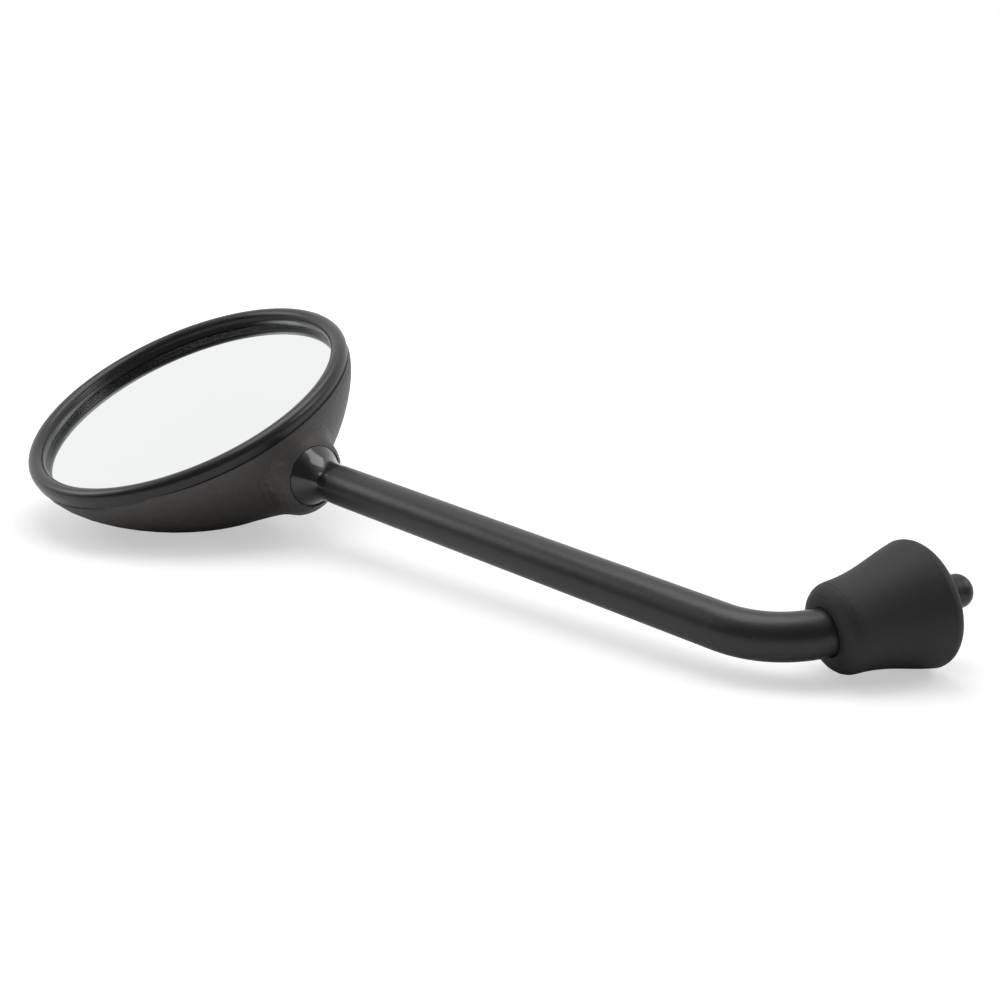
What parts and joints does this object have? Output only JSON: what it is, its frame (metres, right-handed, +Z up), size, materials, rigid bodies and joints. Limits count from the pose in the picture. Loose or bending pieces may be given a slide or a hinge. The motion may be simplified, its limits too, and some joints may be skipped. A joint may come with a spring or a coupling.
{
  "type": "scooter mirror",
  "caption": "Round convex rear-view mirror with a deep moulded bowl, a ball joint and a bent tube stem with a threaded end under a rubber boot, lying on its back",
  "frame": {"origin": "on the axis of the mounting thread, where its free length starts, 0.5 mm outside the plain washer on which the mirror seats", "axes": "+Z is up from the surface it lies on, +X runs along the stem from the mirror head to the mounting end, and +Y completes the right-handed frame, so the thread points mostly along +Y"},
  "size_m": [0.3078, 0.1052, 0.0626],
  "materials": {
    "housing_plastic": "moulded dark plastic with a fine satin surface",
    "rim_plastic": "satin black moulded ring",
    "mirror": "silvered convex glass",
    "foam": "closed-cell foam",
    "plate_plastic": "moulded plastic, plain",
    "zinc_steel": "bright zinc plating",
    "spring_steel": "bare spring steel",
    "nylon": "natural nylon, smooth",
    "gloss_black_steel": "smooth gloss black coating",
    "black_steel": "satin black powder coating",
    "black_zinc": "black zinc plating",
    "yellow_zinc": "dull zinc plating",
    "boot_rubber": "dull black rubber"
  },
  "bodies": {
    "stem": {"stem_tube": "black_steel", "ball_stud": "gloss_black_steel", "mount_stud": "black_zinc", "lock_nut": "yellow_zinc", "spring_washer": "zinc_steel", "plain_washer": "zinc_steel", "rubber_boot": "boot_rubber"},
    "front_ring": {"front_seat": "nylon"},
    "rear_cup": {"rear_seat": "nylon"},
    "head": {"housing": "housing_plastic", "bezel": "rim_plastic", "mirror_glass": "mirror", "glass_pad": "foam", "backing_plate": "plate_plastic", "plate_screws": "zinc_steel", "pressure_cup": "zinc_steel", "clamp_spring": "spring_steel", "clamp_plate": "zinc_steel", "clamp_washers": "zinc_steel", "clamp_screws": "zinc_steel"}
  },
  "joints": [
    {"name": "head_swivel", "type": "hinge", "parent": "stem", "child": "front_ring", "pos_m": [-0.18401, -0.02986, 0.00673], "axis": [0.9977, 0, -0.068], "range_deg": [-45, 45]},
    {"name": "head_tilt", "type": "hinge", "parent": "front_ring", "child": "rear_cup", "pos_m": [-0.18401, -0.02986, 0.00673], "axis": [0.0287, 0.9063, 0.4216], "range_deg": [-12, 12]},
    {"name": "head_swing", "type": "hinge", "parent": "rear_cup", "child": "head", "pos_m": [-0.18401, -0.02986, 0.00673], "axis": [0.0616, -0.4226, 0.9042], "range_deg": [-12, 12]}
  ]
}
